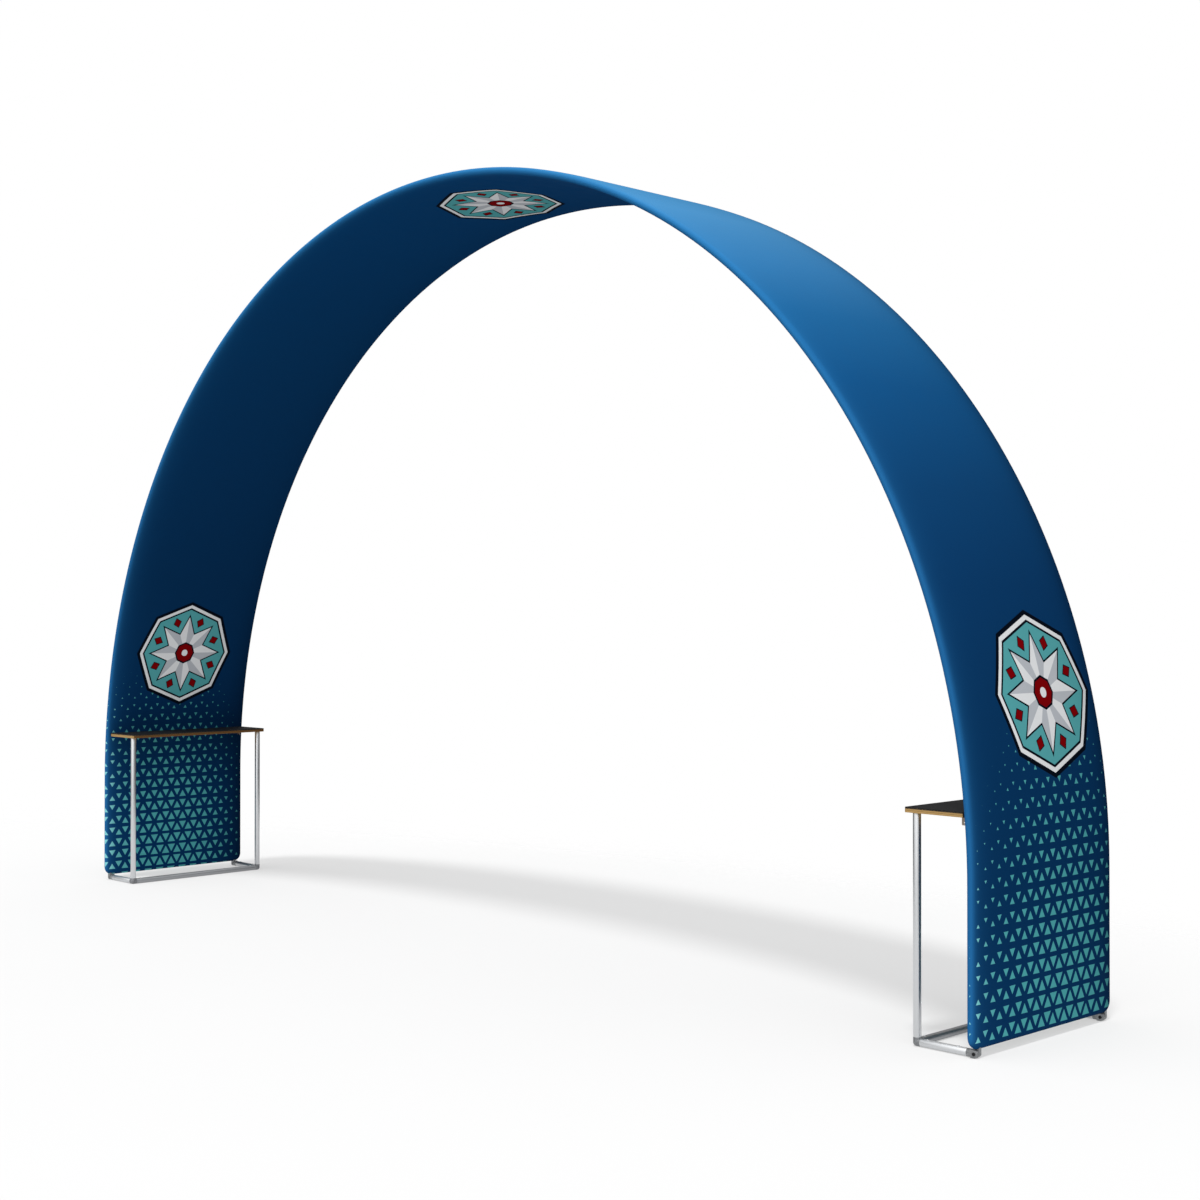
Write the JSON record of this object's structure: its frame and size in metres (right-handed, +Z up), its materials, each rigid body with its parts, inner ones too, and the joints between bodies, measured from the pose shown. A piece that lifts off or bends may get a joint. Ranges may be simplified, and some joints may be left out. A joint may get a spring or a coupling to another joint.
{
  "type": "fabric arch display on a tube frame with two counters",
  "caption": "Walk-through arch of printed stretch cloth on a bent tube frame, with a narrow standing counter at each foot.",
  "frame": {"origin": "on the floor, at the middle of the arch's footprint", "axes": "+Z up, X across the span from foot to foot, Y through the depth with the front at -Y"},
  "size_m": [6.1024, 0.935, 3.6502],
  "materials": {
    "printed_cloth": "matte stretch knit, printed blue with a teal triangle pattern",
    "frame_tube": "plain tube, hidden inside the cloth",
    "counter_tube": "satin silver tube",
    "cast_corner": "dark grey casting",
    "cast_lug": "mid grey casting",
    "black_steel": "black oxide",
    "plywood": "sealed light plywood edge",
    "laminate": "black laminate",
    "edging": "black edging",
    "bracket_steel": "grey brown"
  },
  "bodies": {
    "root": {"bolt_left_back": "black_steel", "bolt_left_front": "black_steel", "bolt_right_back": "black_steel", "bolt_right_front": "black_steel", "bracket_left": "bracket_steel", "bracket_right": "bracket_steel", "corner_left_back": "cast_corner", "corner_left_front": "cast_corner", "corner_right_back": "cast_corner", "corner_right_front": "cast_corner", "fabric_sleeve": "printed_cloth", "floor_tube_left": "counter_tube", "floor_tube_left_back": "counter_tube", "floor_tube_left_front": "counter_tube", "floor_tube_right": "counter_tube", "floor_tube_right_back": "counter_tube", "floor_tube_right_front": "counter_tube", "foot_tube_left": "frame_tube", "foot_tube_right": "frame_tube", "lug_left_back": "cast_lug", "lug_left_front": "cast_lug", "lug_right_back": "cast_lug", "lug_right_front": "cast_lug", "post_left_back": "cast_lug", "post_left_front": "cast_lug", "post_right_back": "cast_lug", "post_right_front": "cast_lug", "rail_back": "frame_tube", "rail_front": "frame_tube", "spreader_1": "frame_tube", "spreader_2": "frame_tube", "spreader_3": "frame_tube", "spreader_4": "frame_tube", "spreader_5": "frame_tube", "table_core_left": "plywood", "table_core_right": "plywood", "table_edge_left": "edging", "table_edge_right": "edging", "table_top_left": "laminate", "table_top_right": "laminate", "upright_left_back": "counter_tube", "upright_left_front": "counter_tube", "upright_right_back": "counter_tube", "upright_right_front": "counter_tube"}
  },
  "joints": []
}
